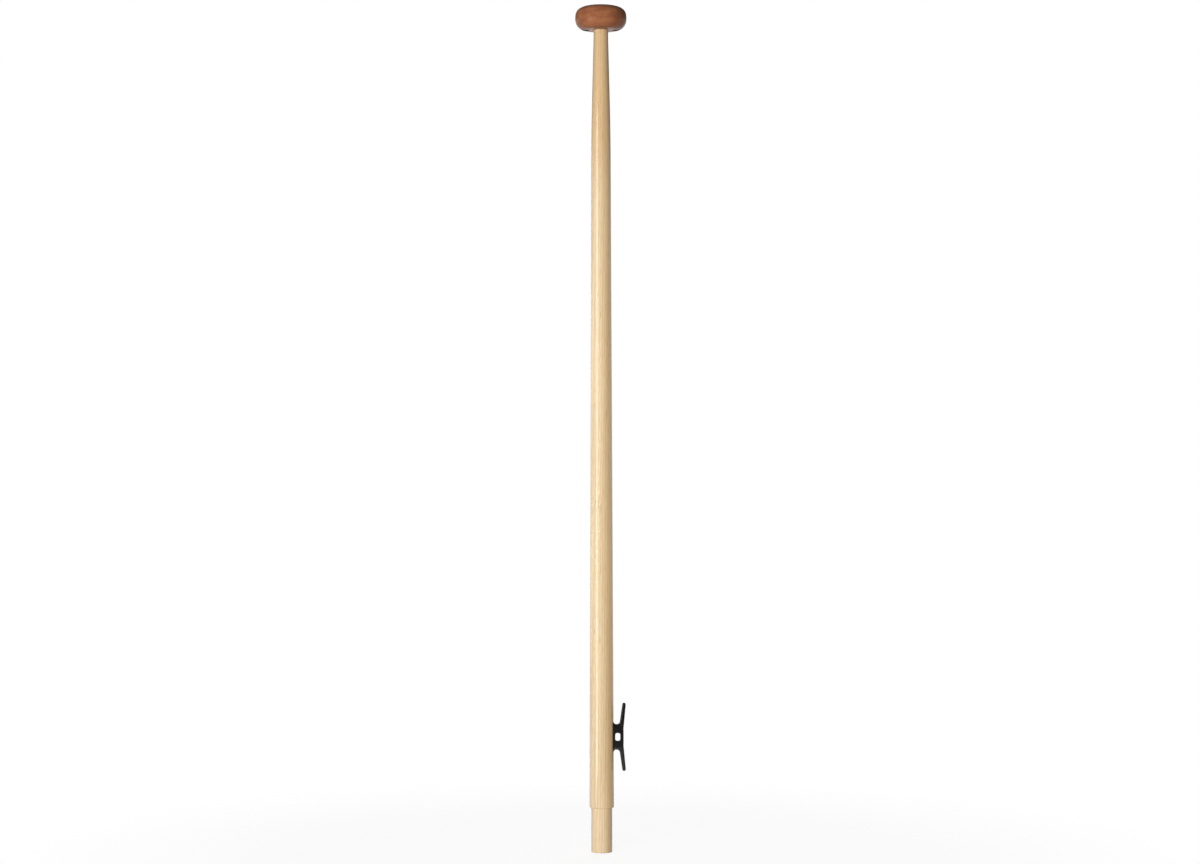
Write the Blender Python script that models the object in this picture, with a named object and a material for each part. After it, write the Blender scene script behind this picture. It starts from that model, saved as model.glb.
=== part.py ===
"""A boat's wooden flagstaff at its real size, in metres with +Z up.

The turned ash staff stands on its heel, which drops into a deck socket as far as the shoulder. Its top
is a spigot glued into the truck, a turned mahogany cap with two holes for the halyard. The halyard is
made fast on a moulded two-horn cleat, which two countersunk screws hold on a flat cut in the staff.
The origin is the centre of the heel's end face, and the cleat is on the +X side.
"""

import math

import bmesh
import bpy

FIT_GAP = 0.0003  # clearance between pieces that seat on each other
CUT_MARGIN = 0.002  # how far a cutter runs past the face that it opens

# Staff, from its heel up
OVERALL_LENGTH = 1.200
HEEL_DIAMETER = 0.030
HEEL_LENGTH = 0.063
HEEL_END_ROUND = 0.001
SHOULDER_DIAMETER = 0.035
SHOULDER_ROUND = 0.0015
HIP_DIAMETER = 0.0274  # where the slow taper meets the quick one
HIP_BLEND = 0.045  # half of the length over which the two tapers run together
HEAD_TAPER_LENGTH = 0.1345  # hip to neck
NECK_DIAMETER = 0.0206
NECK_LENGTH = 0.010
SPIGOT_LENGTH = 0.024
SPIGOT_CHAMFER = 0.001

# Truck
TRUCK_DIAMETER = 0.0726
TRUCK_CROWN_HEIGHT = 0.0198  # above its widest ring
TRUCK_FOOT_HEIGHT = 0.0152  # below its widest ring
TRUCK_FLAT_DIAMETER = 0.0446
CROWN_FULLNESS = 3.2  # exponent of the crown's superellipse, where 2 is round
FOOT_FULLNESS = 2.0
HALYARD_HOLE_DIAMETER = 0.008
HALYARD_HOLE_SPACING = 0.043
HALYARD_MOUTH_ROUND = 0.0006

# Cleat, with its length along Z and its height along X
CLEAT_ABOVE_SHOULDER = 0.1001  # to the cleat's middle
CLEAT_LENGTH = 0.0968
CLEAT_HEIGHT = 0.0151
CLEAT_WIDTH = 0.0098
CLEAT_EDGE_ROUND = 0.0020
CLEAT_TOP_LENGTH = 0.026  # straight part of the top, between the horns
BASE_LENGTH = 0.042
BASE_WIDTH = 0.0125
BASE_THICKNESS = 0.001
BASE_CORNER = 0.004
FLARE_SINK = 0.0002  # how far the top of the base's flare lies inside the waist that it joins
THROAT_RADIUS = 0.0044
THROAT_DEPTH = 0.0031  # how far the waist lies inside the base's end
HORN_ANGLE = math.radians(8.2)  # rise of the horn's underside
HORN_TIP_RADIUS = 0.00255
HORN_TIP_WIDTH = 0.0064
EYE_LENGTH = 0.0115
EYE_HEIGHT = 0.0070
EYE_FLOOR = 0.0032
EYE_CORNER = 0.0028
EYE_ROUND = 0.0012

# Cleat screws
SCREW_SPACING = 0.024
SCREW_LENGTH = 0.030
SCREW_DIAMETER = 0.0035
SCREW_HEAD_DIAMETER = 0.0064
SCREW_RIM = 0.0003
SCREW_SINK = 0.0005  # head's face below the cleat's top
SCREW_POINT_LENGTH = 0.005
RECESS_SPAN = 0.0038
RECESS_SLOT = 0.001
RECESS_DEPTH = 0.0016
RECESS_TAPER = 0.5  # share of the recess's span that is left at its floor

# Facets
STAFF_SEGMENTS = 48
TRUCK_SEGMENTS = 60
HOLE_SEGMENTS = 24
TAPER_RINGS = 12

TRUCK_HEIGHT = TRUCK_CROWN_HEIGHT + TRUCK_FOOT_HEIGHT
TRUCK_UNDERSIDE = OVERALL_LENGTH - TRUCK_HEIGHT
NECK_BOTTOM = TRUCK_UNDERSIDE - NECK_LENGTH
HIP = NECK_BOTTOM - HEAD_TAPER_LENGTH
CLEAT_MIDDLE = HEEL_LENGTH + CLEAT_ABOVE_SHOULDER


def staff_radius(height):
    """The staff's radius above the shoulder: two straight tapers joined by a parabola, then the neck."""
    slow = (HIP_DIAMETER - SHOULDER_DIAMETER) / 2 / (HIP - HEEL_LENGTH)
    quick = (NECK_DIAMETER - HIP_DIAMETER) / 2 / HEAD_TAPER_LENGTH
    past = height - HIP
    if past > HIP_BLEND:
        return max(NECK_DIAMETER / 2, HIP_DIAMETER / 2 + quick * past)
    bend = max(0.0, past + HIP_BLEND) ** 2 / (4 * HIP_BLEND)
    return HIP_DIAMETER / 2 + slow * past + (quick - slow) * bend


# The cleat's seat is as wide as its base where the staff is thinnest under it.
SEAT = math.sqrt(staff_radius(CLEAT_MIDDLE + BASE_LENGTH / 2) ** 2 - (BASE_WIDTH / 2) ** 2)
CLEAT_FOOT = SEAT + FIT_GAP


def steps(start, stop, count):
    """Evenly spaced values from start to stop, with both."""
    return [start + (stop - start) * i / count for i in range(count + 1)]


def arc(center, radius, start, stop, count):
    """Points along a circular arc in a plane, from one angle to another."""
    angles = steps(start, stop, count)
    return [(center[0] + radius * math.cos(a), center[1] + radius * math.sin(a)) for a in angles]


def rounded_rectangle(length, width, corner, count=5):
    """A closed outline centred on the origin, length along its first axis."""
    points = []
    for quarter, (side, end) in enumerate(((1, 1), (-1, 1), (-1, -1), (1, -1))):
        center = (side * (length / 2 - corner), end * (width / 2 - corner))
        turn = quarter * math.pi / 2
        points += arc(center, corner, turn, turn + math.pi / 2, count)
    return points


def finish(name, bm, material):
    """An object from a bmesh, with its faces out and its round stretches shaded smooth."""
    bmesh.ops.remove_doubles(bm, verts=bm.verts, dist=1e-6)
    bmesh.ops.recalc_face_normals(bm, faces=bm.faces)
    mesh = bpy.data.meshes.new(name)
    bm.to_mesh(mesh)
    bm.free()
    mesh.shade_smooth()
    mesh.set_sharp_from_angle(angle=math.radians(35))
    if material:
        mesh.materials.append(material)
    obj = bpy.data.objects.new(name, mesh)
    bpy.context.collection.objects.link(obj)
    return obj


def turned(name, profile, segments, material=None):
    """A solid of revolution about Z from (radius, height) points that start and end on the axis."""
    bm = bmesh.new()
    verts = [bm.verts.new((radius, 0, height)) for radius, height in profile]
    edges = [bm.edges.new(pair) for pair in zip(verts, verts[1:])]
    full_turn = 2 * math.pi
    bmesh.ops.spin(bm, geom=verts + edges, axis=(0, 0, 1), angle=full_turn, steps=segments, use_merge=True)
    return finish(name, bm, material)


def loft(name, rings, material=None):
    """A solid through rings of as many points each, with flat ends."""
    bm = bmesh.new()
    loops = [[bm.verts.new(point) for point in ring] for ring in rings]
    for low, high in zip(loops, loops[1:]):
        for i in range(len(low)):
            bm.faces.new((low[i - 1], low[i], high[i], high[i - 1]))
    bm.faces.new(loops[0])
    bm.faces.new(loops[-1])
    return finish(name, bm, material)


def as_cutter(obj):
    obj.hide_render = True
    obj.display_type = "WIRE"
    return obj


def boolean(target, tool, operation="DIFFERENCE"):
    modifier = target.modifiers.new(tool.name, "BOOLEAN")
    modifier.operation = operation
    modifier.object = as_cutter(tool)


def paint(name, color, roughness, metallic=0.0):
    material = bpy.data.materials.new(name)
    material.use_nodes = True
    shader = material.node_tree.nodes["Principled BSDF"]
    shader.inputs["Base Color"].default_value = (*color, 1.0)
    shader.inputs["Roughness"].default_value = roughness
    shader.inputs["Metallic"].default_value = metallic
    return material


def staff_profile():
    """The turned outline from the spigot's end down to the heel's end."""
    top = TRUCK_UNDERSIDE + SPIGOT_LENGTH
    neck = NECK_DIAMETER / 2
    heel = HEEL_DIAMETER / 2
    shoulder = SHOULDER_DIAMETER / 2 - SHOULDER_ROUND
    points = [(0, top), (neck - SPIGOT_CHAMFER, top), (neck, top - SPIGOT_CHAMFER), (neck, NECK_BOTTOM)]
    heights = steps(NECK_BOTTOM, HIP + HIP_BLEND, 3)[1:]
    heights += steps(HIP + HIP_BLEND, HIP - HIP_BLEND, 8)[1:]
    heights += steps(HIP - HIP_BLEND, HEEL_LENGTH + SHOULDER_ROUND, TAPER_RINGS)[1:-1]
    points += [(staff_radius(height), height) for height in heights]
    points += arc((shoulder, HEEL_LENGTH + SHOULDER_ROUND), SHOULDER_ROUND, 0, -math.pi / 2, 4)
    points += [(heel, HEEL_LENGTH)]
    points += arc((heel - HEEL_END_ROUND, HEEL_END_ROUND), HEEL_END_ROUND, 0, -math.pi / 2, 3)
    return points + [(0, 0)]


def make_staff(material):
    staff = turned("staff", staff_profile(), STAFF_SEGMENTS, material)
    side = SHOULDER_DIAMETER / 2
    end = BASE_LENGTH / 2 + FIT_GAP
    corners = ((-side, -end), (side, -end), (side, end), (-side, end))
    levels = (SEAT, side + CUT_MARGIN)
    boolean(staff, loft("seat", [[(x, y, CLEAT_MIDDLE + z) for y, z in corners] for x in levels]))
    return staff


def superellipse(width, height, fullness, count):
    """A quarter outline from the top (0, height) to the side (width, 0)."""
    power = 2 / fullness
    angles = steps(0, math.pi / 2, count)
    return [(width * math.sin(a) ** power, height * max(0.0, math.cos(a)) ** power) for a in angles]


def crown_height(radius):
    """The crown's height above the truck's underside at a radius."""
    share = radius / (TRUCK_DIAMETER / 2)
    return TRUCK_FOOT_HEIGHT + TRUCK_CROWN_HEIGHT * (1 - share**CROWN_FULLNESS) ** (1 / CROWN_FULLNESS)


def make_truck(material):
    wide = TRUCK_DIAMETER / 2
    flat = TRUCK_FLAT_DIAMETER / 2
    socket = NECK_DIAMETER / 2 + FIT_GAP
    depth = SPIGOT_LENGTH + FIT_GAP
    crown = superellipse(wide, TRUCK_CROWN_HEIGHT, CROWN_FULLNESS, 14)
    foot = superellipse(wide - flat, TRUCK_FOOT_HEIGHT, FOOT_FULLNESS, 8)
    profile = [(radius, TRUCK_FOOT_HEIGHT + rise) for radius, rise in crown]
    profile += [(flat + reach, TRUCK_FOOT_HEIGHT - drop) for reach, drop in reversed(foot[:-1])]
    profile += [(socket, 0), (socket, depth), (0, depth)]
    truck = turned("truck", profile, TRUCK_SEGMENTS, material)
    truck.location.z = TRUCK_UNDERSIDE
    for side, name in ((1, "halyard_hole_fore"), (-1, "halyard_hole_aft")):
        cutter = turned(name, halyard_hole_profile(), HOLE_SEGMENTS)
        cutter.location = (side * HALYARD_HOLE_SPACING / 2, 0, TRUCK_UNDERSIDE)
        boolean(truck, cutter)
    return truck


def halyard_hole_profile():
    """The space of a hole right through the truck, with rounded mouths."""
    radius = HALYARD_HOLE_DIAMETER / 2
    mouth = radius + HALYARD_MOUTH_ROUND
    crown = crown_height(HALYARD_HOLE_SPACING / 2)
    above = TRUCK_HEIGHT + CUT_MARGIN
    points = [(0, above), (mouth, above)]
    points += arc((mouth, crown - HALYARD_MOUTH_ROUND), HALYARD_MOUTH_ROUND, math.pi / 2, math.pi, 3)
    points += arc((mouth, HALYARD_MOUTH_ROUND), HALYARD_MOUTH_ROUND, math.pi, math.pi * 1.5, 3)
    return points + [(mouth, -CUT_MARGIN), (0, -CUT_MARGIN)]


def throat():
    """Center of the round throat between the base's end and the horn, as (length, height)."""
    along = BASE_LENGTH / 2 - THROAT_DEPTH + THROAT_RADIUS
    rise = math.sqrt(THROAT_RADIUS**2 - (THROAT_RADIUS - THROAT_DEPTH) ** 2)
    return along, BASE_THICKNESS + rise


def cleat_half_outline():
    """The cleat's side outline from the waist's foot, round the horn, to the end of its straight top."""
    along, height = throat()
    waist = along - THROAT_RADIUS
    under_angle = math.pi / 2 + HORN_ANGLE
    under = arc((along, height), THROAT_RADIUS, math.pi, under_angle, 8)
    tip_along = CLEAT_LENGTH / 2 - HORN_TIP_RADIUS
    line_height = under[-1][1] + (tip_along - under[-1][0]) * math.tan(HORN_ANGLE)
    tip_height = line_height + HORN_TIP_RADIUS / math.cos(HORN_ANGLE)
    reach = tip_along - CLEAT_TOP_LENGTH / 2
    rise = tip_height - CLEAT_HEIGHT
    top_angle = math.atan2(rise, reach) + math.asin(HORN_TIP_RADIUS / math.hypot(reach, rise))
    tip = (tip_along, tip_height)
    outline = [(CLEAT_TOP_LENGTH / 2, BASE_THICKNESS), (waist, BASE_THICKNESS)] + under
    outline += arc(tip, HORN_TIP_RADIUS, HORN_ANGLE - math.pi / 2, top_angle + math.pi / 2, 10)
    return outline + [(CLEAT_TOP_LENGTH / 2, CLEAT_HEIGHT)]


def cleat_half_width(along):
    """Half of the cleat's width: constant between the horns, then tapered to their tips."""
    middle = CLEAT_TOP_LENGTH / 2
    share = max(0.0, abs(along) - middle) / (CLEAT_LENGTH / 2 - middle)
    return (CLEAT_WIDTH + (HORN_TIP_WIDTH - CLEAT_WIDTH) * share) / 2


def make_cleat_body(material):
    """The waist, bar and horns: one side outline given its width, with round edges."""
    upper = cleat_half_outline()
    outline = upper + [(-along, height) for along, height in reversed(upper)]
    sides = []
    for side in (-1, 1):
        sides.append([(height, side * cleat_half_width(along), along) for along, height in outline])
    body = loft("cleat", sides, material)
    bevel = body.modifiers.new("round edges", "BEVEL")
    bevel.width = CLEAT_EDGE_ROUND
    bevel.segments = 4
    bevel.limit_method = "ANGLE"
    bevel.angle_limit = math.radians(40)
    return body


def make_cleat_base():
    """The flange on the staff and the hollow flare that leads up to the waist."""
    along, height = throat()
    top_length = BASE_LENGTH - 2 * THROAT_DEPTH - 2 * FLARE_SINK
    top_width = CLEAT_WIDTH - 2 * FLARE_SINK
    rings = []
    for rise in (0, *steps(BASE_THICKNESS, height, 6)):
        drop = height - max(rise, BASE_THICKNESS)
        spread = (THROAT_RADIUS - math.sqrt(THROAT_RADIUS**2 - drop**2)) / THROAT_DEPTH
        length = top_length + (BASE_LENGTH - top_length) * spread
        width = top_width + (BASE_WIDTH - top_width) * spread
        outline = rounded_rectangle(length, width, BASE_CORNER)
        rings.append([(rise, y, z) for z, y in outline])
    return loft("cleat_base", rings)


def make_cleat_eye():
    """The space of the eye through the cleat's middle, with rounded edges."""
    middle = EYE_FLOOR + EYE_HEIGHT / 2
    flank = CLEAT_WIDTH / 2 - EYE_ROUND
    stations = [(EYE_ROUND, BASE_WIDTH / 2 + CUT_MARGIN)]
    stations += arc((EYE_ROUND, flank), EYE_ROUND, math.pi / 2, math.pi, 3)
    rings = []
    for grow, y in stations + [(grow, -y) for grow, y in reversed(stations)]:
        outline = rounded_rectangle(EYE_LENGTH + 2 * grow, EYE_HEIGHT + 2 * grow, EYE_CORNER + grow)
        rings.append([(middle + x, y, z) for z, x in outline])
    return loft("cleat_eye", rings)


def screw_profile(gap):
    """A countersunk screw's outline from the head's face down to the point, grown by a gap all round."""
    head = SCREW_HEAD_DIAMETER / 2 + gap
    shank = SCREW_DIAMETER / 2 + gap
    tip = -SCREW_LENGTH - gap
    top = SCREW_SINK + CUT_MARGIN if gap else 0
    points = [(0, top), (head, top), (head, -SCREW_RIM), (shank, -SCREW_RIM - head + shank)]
    return points + [(shank, tip + SCREW_POINT_LENGTH), (shank / 4, tip), (0, tip)]


def make_recess():
    """The space of a cross recess, which narrows downward."""
    wide = RECESS_SPAN / 2
    slot = RECESS_SLOT / 2
    outline = []
    for cos, sin in ((1, 0), (0, 1), (-1, 0), (0, -1)):
        arm = ((wide, -slot), (wide, slot), (slot, slot))
        outline += [(x * cos - y * sin, x * sin + y * cos) for x, y in arm]
    rings = []
    for height in (CUT_MARGIN, -RECESS_DEPTH):
        share = 1 + (1 - RECESS_TAPER) * height / RECESS_DEPTH
        rings.append([(x * share, y * share, height) for x, y in outline])
    return loft("recess", rings)


def make_cleat(material):
    """The cleat, standing on its seat, with its base and eye but not yet its screw holes."""
    cleat = make_cleat_body(material)
    base = make_cleat_base()
    eye = make_cleat_eye()
    boolean(cleat, base, "UNION")
    boolean(cleat, eye)
    for obj in (cleat, base, eye):
        obj.location = (CLEAT_FOOT, 0, CLEAT_MIDDLE)
    return cleat


def make_screw(name, height, material, held):
    """A screw with its head sunk in the cleat's top, and its hole in each piece that it holds."""
    screw = turned(name, screw_profile(0), HOLE_SEGMENTS, material)
    hole = turned(name + "_hole", screw_profile(FIT_GAP), HOLE_SEGMENTS)
    recess = make_recess()
    boolean(screw, recess)
    for obj in (screw, hole, recess):
        obj.location = (CLEAT_FOOT + CLEAT_HEIGHT - SCREW_SINK, 0, height)
        obj.rotation_euler = (0, math.pi / 2, 0)
    for piece in held:
        boolean(piece, hole)
    return screw


def main():
    for obj in list(bpy.data.objects):
        bpy.data.objects.remove(obj, do_unlink=True)
    steel = paint("stainless steel", (0.60, 0.60, 0.58), 0.30, 1.0)
    staff = make_staff(paint("varnished ash", (0.80, 0.62, 0.40), 0.25))
    truck = make_truck(paint("varnished mahogany", (0.36, 0.13, 0.05), 0.35))
    cleat = make_cleat(paint("black nylon", (0.012, 0.012, 0.011), 0.40))
    upper = make_screw("cleat_screw_upper", CLEAT_MIDDLE + SCREW_SPACING / 2, steel, (cleat, staff))
    lower = make_screw("cleat_screw_lower", CLEAT_MIDDLE - SCREW_SPACING / 2, steel, (cleat, staff))
    flagstaff = bpy.data.objects.new("flagstaff", None)
    bpy.context.collection.objects.link(flagstaff)
    for obj in (staff, truck, cleat, upper, lower):
        obj.parent = flagstaff


main()
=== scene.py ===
import math

import bmesh
import bpy
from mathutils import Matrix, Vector


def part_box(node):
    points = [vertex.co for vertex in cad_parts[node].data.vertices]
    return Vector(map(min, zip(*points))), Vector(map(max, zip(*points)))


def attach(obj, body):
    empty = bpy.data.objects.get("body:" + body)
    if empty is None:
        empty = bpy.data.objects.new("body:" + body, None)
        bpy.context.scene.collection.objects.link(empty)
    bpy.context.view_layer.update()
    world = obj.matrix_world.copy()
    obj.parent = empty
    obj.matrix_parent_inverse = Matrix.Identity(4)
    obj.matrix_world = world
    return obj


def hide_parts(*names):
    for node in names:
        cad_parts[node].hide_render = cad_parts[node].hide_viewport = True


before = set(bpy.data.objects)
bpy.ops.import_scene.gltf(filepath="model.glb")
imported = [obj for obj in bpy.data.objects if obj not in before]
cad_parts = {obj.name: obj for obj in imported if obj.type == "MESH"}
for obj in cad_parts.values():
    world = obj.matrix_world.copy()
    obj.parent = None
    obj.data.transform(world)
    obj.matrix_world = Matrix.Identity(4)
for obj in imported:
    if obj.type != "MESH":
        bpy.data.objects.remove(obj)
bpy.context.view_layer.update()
mm = 0.001
touching = 0.0001 * mm  # points this close are one point
sliver = 0.005 * mm  # shorter edges are left over from cuts, and go
sharpAngle = 30  # degrees past which an edge is drawn sharp
noiseSpan = (0.3, 0.7)  # where most values of a noise texture lie
scene = bpy.context.scene
scene.view_settings.view_transform = "Standard"


# Small helpers

def linear(hexColour):  # sRGB hex to the linear colour that a socket takes
    channels = [int(hexColour[i:i + 2], 16) / 255 for i in (1, 3, 5)]
    return [c / 12.92 if c <= 0.04045 else ((c + 0.055) / 1.055) ** 2.4 for c in channels] + [1.0]


def addNode(tree, kind, settings=None, inputs=None):
    node = tree.nodes.new(kind)
    for name, value in (settings or {}).items():
        setattr(node, name, value)
    for key, value in (inputs or {}).items():
        if isinstance(value, bpy.types.NodeSocket):
            tree.links.new(value, node.inputs[key])
        else:
            node.inputs[key].default_value = value
    return node


def spaced(start, stop, count):  # evenly spaced values, both ends included
    return [start + (stop - start) * i / count for i in range(count + 1)]


def arc(center, radius, start, stop, count):  # angles in degrees
    turns = [math.radians(a) for a in spaced(start, stop, count)]
    return [(center[0] + radius * math.cos(a), center[1] + radius * math.sin(a)) for a in turns]


def roundedRectangle(length, width, corner, count=8):
    points = []
    for quarter, (side, end) in enumerate(((1, 1), (-1, 1), (-1, -1), (1, -1))):
        center = (side * (length / 2 - corner), end * (width / 2 - corner))
        points += arc(center, corner, quarter * 90, quarter * 90 + 90, count)
    return points


def meshObject(name, bm):
    bmesh.ops.remove_doubles(bm, verts=bm.verts, dist=touching)
    bmesh.ops.recalc_face_normals(bm, faces=bm.faces)
    mesh = bpy.data.meshes.new(name)
    bm.to_mesh(mesh)
    bm.free()
    obj = bpy.data.objects.new(name, mesh)
    scene.collection.objects.link(obj)
    return obj


def turned(name, profile, segments):  # profile is (radius, height), from axis to axis
    bm = bmesh.new()
    verts = [bm.verts.new((radius, 0, height)) for radius, height in profile]
    edges = [bm.edges.new(pair) for pair in zip(verts, verts[1:])]
    bmesh.ops.spin(
        bm, geom=verts + edges, axis=(0, 0, 1), angle=math.tau, steps=segments, use_merge=True)
    return meshObject(name, bm)


def lofted(name, rings):
    bm = bmesh.new()
    loops = [[bm.verts.new(point) for point in ring] for ring in rings]
    for low, high in zip(loops, loops[1:]):
        for i in range(len(low)):
            bm.faces.new((low[i - 1], low[i], high[i], high[i - 1]))
    bm.faces.new(loops[0])
    bm.faces.new(loops[-1])
    return meshObject(name, bm)


def combine(target, tool, operation="DIFFERENCE"):
    modifier = target.modifiers.new(tool.name, "BOOLEAN")
    modifier.operation = operation
    modifier.object = tool


def makePlain(obj, *tools):  # modifiers become the mesh, and the tools they used go
    graph = bpy.context.evaluated_depsgraph_get()
    mesh = bpy.data.meshes.new_from_object(obj.evaluated_get(graph), depsgraph=graph)
    bm = bmesh.new()
    bm.from_mesh(mesh)
    bmesh.ops.dissolve_degenerate(bm, edges=bm.edges, dist=sliver)
    bm.to_mesh(mesh)
    bm.free()
    obj.modifiers.clear()
    obj.data = mesh
    for tool in tools:
        bpy.data.objects.remove(tool, do_unlink=True)


def shade(obj, angle=sharpAngle):
    obj.data.shade_smooth()
    obj.data.set_sharp_from_angle(angle=math.radians(angle))


def handOver(obj, material, slot, *nodes):  # gives a finished piece its look and its place in the frame
    obj.data.materials.clear()
    obj.data.materials.append(material)
    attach(obj, "root")
    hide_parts(*nodes)
    print("made", obj.name, len(obj.data.polygons), "faces")


# Materials

def newMaterial(name):
    material = bpy.data.materials.new(name)
    material.use_nodes = True
    tree = material.node_tree
    place = addNode(tree, "ShaderNodeTexCoord").outputs["Object"]
    return material, tree, tree.nodes["Principled BSDF"], place


def ringWaves(spacing):  # Wave Texture scale for rings that far apart
    return math.tau / 20 / spacing


# Varnished ash: pale ring-porous wood under clear gloss varnish. The eye sees long straight grain lines,
# fine darker pores along them, and one crisp reflection of the light down its side.
ash = {
    "ringSpacing": 3.4 * mm,  # wider than most ash, so that the rings show
    "ringStretch": 0.03,  # the rings change little along the stick
    "ringWander": 2.6,
    "lateWood": (0.3, 1.0),  # the share of a ring over which it turns denser
    "earlyWood": (0.45, 0.2),  # the share of a ring over which its pores gather
    "heartAndPaintedShade": (52 * mm, 31 * mm),  # the tree's heart, off to one side of the blank
    "grainSlope": 0.6,  # degrees between the grain and the staff's axis
    "fibre": (2.2 * mm, 320 * mm),  # width and length
    "thread": (0.5 * mm, 70 * mm),
    "pore": (0.3 * mm, 14 * mm),
    "fibreTone": (0.90, 1.05),  # how much a streak darkens and lightens the wood
    "threadTone": (0.95, 1.03),
    "poreCut": (0.58, 0.70),  # noise values from no pore to a full one
    "poreTone": 0.75,
    "latePores": 0.1,  # the share of the pores that late wood has
    "pale": "#EBD2AB",
    "late": "#E1C398",
    "poreColour": "#BA8B53",
    "paintedShade": "#E4C08B",  # painted shade: the side away from the key light, tinted darker and warmer
    "paintedShadeSide": (0 * mm, 11 * mm),
    "paintedShadeShare": 0.85,
    "amber": "#DDB988",  # darker and more orange up the quick taper
    "amberHeights": (0.90, 1.04),
    "amberShare": 0.8,
    "reliefStrength": 0.05,
    "reliefDepth": 0.2 * mm,
    "roughness": 0.55,
    "specular": 0.25,
    "varnishRoughness": 0.08,
    "varnishIor": 1.5,
}


def makeAsh():
    material, tree, shader, place = newMaterial("varnished ash")
    slope = math.radians(ash["grainSlope"])
    lean = addNode(tree, "ShaderNodeMapping", inputs={
        "Vector": place, "Location": (*ash["heartAndPaintedShade"], 0), "Rotation": (slope, -slope, 0)})
    drawn = addNode(tree, "ShaderNodeMapping", inputs={
        "Vector": lean.outputs[0], "Scale": (1, 1, ash["ringStretch"])})
    rings = addNode(tree, "ShaderNodeTexWave", {
        "wave_type": "RINGS", "rings_direction": "Z", "wave_profile": "SAW"}, {
        "Vector": drawn.outputs[0], "Scale": ringWaves(ash["ringSpacing"]),
        "Distortion": ash["ringWander"], "Detail": 2.0, "Detail Scale": 0.5, "Detail Roughness": 0.5})
    grain = {}
    for name, detail, roughness in (("fibre", 3.0, 0.55), ("thread", 1.0, 0.5), ("pore", 0.0, 0.5)):
        width, length = ash[name]
        along = addNode(tree, "ShaderNodeMapping", inputs={
            "Vector": lean.outputs[0], "Scale": (1, 1, width / length)})
        grain[name] = addNode(tree, "ShaderNodeTexNoise", inputs={
            "Vector": along.outputs[0], "Scale": 1 / width, "Detail": detail,
            "Roughness": roughness}).outputs["Fac"]
    # each ring runs from a thin porous start to denser late wood
    band = addNode(tree, "ShaderNodeMapRange", {"interpolation_type": "SMOOTHSTEP"}, {
        "Value": rings.outputs["Fac"], "From Min": ash["lateWood"][0], "From Max": ash["lateWood"][1]})
    wood = addNode(tree, "ShaderNodeMix", {"data_type": "RGBA"}, {
        "Factor": band.outputs[0], "A": linear(ash["pale"]), "B": linear(ash["late"])}).outputs["Result"]
    # painted shade makes the side away from the key light darker and warmer; the wood is also darker and
    # more amber up the quick taper
    part = addNode(tree, "ShaderNodeSeparateXYZ", inputs={0: place}).outputs
    for axis, tone, span, share in (("X", "paintedShade", "paintedShadeSide", "paintedShadeShare"),
                                    ("Z", "amber", "amberHeights", "amberShare")):
        reach = addNode(tree, "ShaderNodeMapRange", {"interpolation_type": "SMOOTHSTEP"}, {
            "Value": part[axis], "From Min": ash[span][0], "From Max": ash[span][1],
            "To Max": ash[share]})
        wood = addNode(tree, "ShaderNodeMix", {"data_type": "RGBA"}, {
            "Factor": reach.outputs[0], "A": wood, "B": linear(ash[tone])}).outputs["Result"]
    for name in ("fibre", "thread"):
        low, high = ash[name + "Tone"]
        streak = addNode(tree, "ShaderNodeMapRange", inputs={
            "Value": grain[name], "From Min": noiseSpan[0], "From Max": noiseSpan[1],
            "To Min": low, "To Max": high})
        wood = addNode(tree, "ShaderNodeVectorMath", {"operation": "SCALE"}, {
            0: wood, "Scale": streak.outputs[0]}).outputs[0]
    # pores gather at the start of each ring
    cut = addNode(tree, "ShaderNodeMapRange", inputs={
        "Value": grain["pore"], "From Min": ash["poreCut"][0], "From Max": ash["poreCut"][1],
        "To Max": ash["poreTone"]})
    early = addNode(tree, "ShaderNodeMapRange", inputs={
        "Value": rings.outputs["Fac"], "From Min": ash["earlyWood"][0], "From Max": ash["earlyWood"][1],
        "To Min": ash["latePores"]})
    poreShare = addNode(tree, "ShaderNodeMath", {"operation": "MULTIPLY"}, {
        0: cut.outputs[0], 1: early.outputs[0]})
    colour = addNode(tree, "ShaderNodeMix", {"data_type": "RGBA"}, {
        "Factor": poreShare.outputs[0], "A": wood, "B": linear(ash["poreColour"])})
    tree.links.new(colour.outputs["Result"], shader.inputs["Base Color"])
    bump = addNode(tree, "ShaderNodeBump", inputs={
        "Strength": ash["reliefStrength"], "Distance": ash["reliefDepth"], "Height": grain["fibre"]})
    tree.links.new(bump.outputs[0], shader.inputs["Normal"])
    shader.inputs["Roughness"].default_value = ash["roughness"]
    shader.inputs["Specular IOR Level"].default_value = ash["specular"]
    shader.inputs["Coat Weight"].default_value = 1.0
    shader.inputs["Coat Roughness"].default_value = ash["varnishRoughness"]
    shader.inputs["Coat IOR"].default_value = ash["varnishIor"]
    return material


# Varnished mahogany: red-brown open-grained wood under a thinner satin coat. The eye sees soft ribbons
# along the grain, short dark pores, and a broad dull sheen.
mahogany = {
    "ribbonWidth": 6 * mm,
    "ribbonLength": 60 * mm,
    "ribbonWander": 0.4,
    "ribbonSpan": (0.32, 0.68),  # noise values from a dark ribbon to a light one
    "poreWidth": 0.35 * mm,
    "poreLength": 5 * mm,
    "poreCut": (0.54, 0.70),  # noise values from no pore to a full one
    "poreTone": 0.5,
    "light": "#A96C49",
    "dark": "#925A3D",
    "poreColour": "#6A3A21",
    "paintedShadeReach": (7 * mm, 36 * mm),  # painted shade: the block darkens towards the side away from the key light
    "paintedShadeDarkest": 0.72,
    "paintedHoleShade": "#170B05",  # painted shade: near-black inside the halyard holes and round their mouths
    "soaked": 2.2 * mm,  # how far that painted shade spreads round a hole's mouth
    "reliefStrength": 0.12,
    "reliefDepth": 0.2 * mm,
    "roughness": 0.3,
    "boreRoughness": 1.0,
    "specular": 0.1,
    "coat": 0.06,
    "coatRoughness": 0.3,
}


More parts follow.
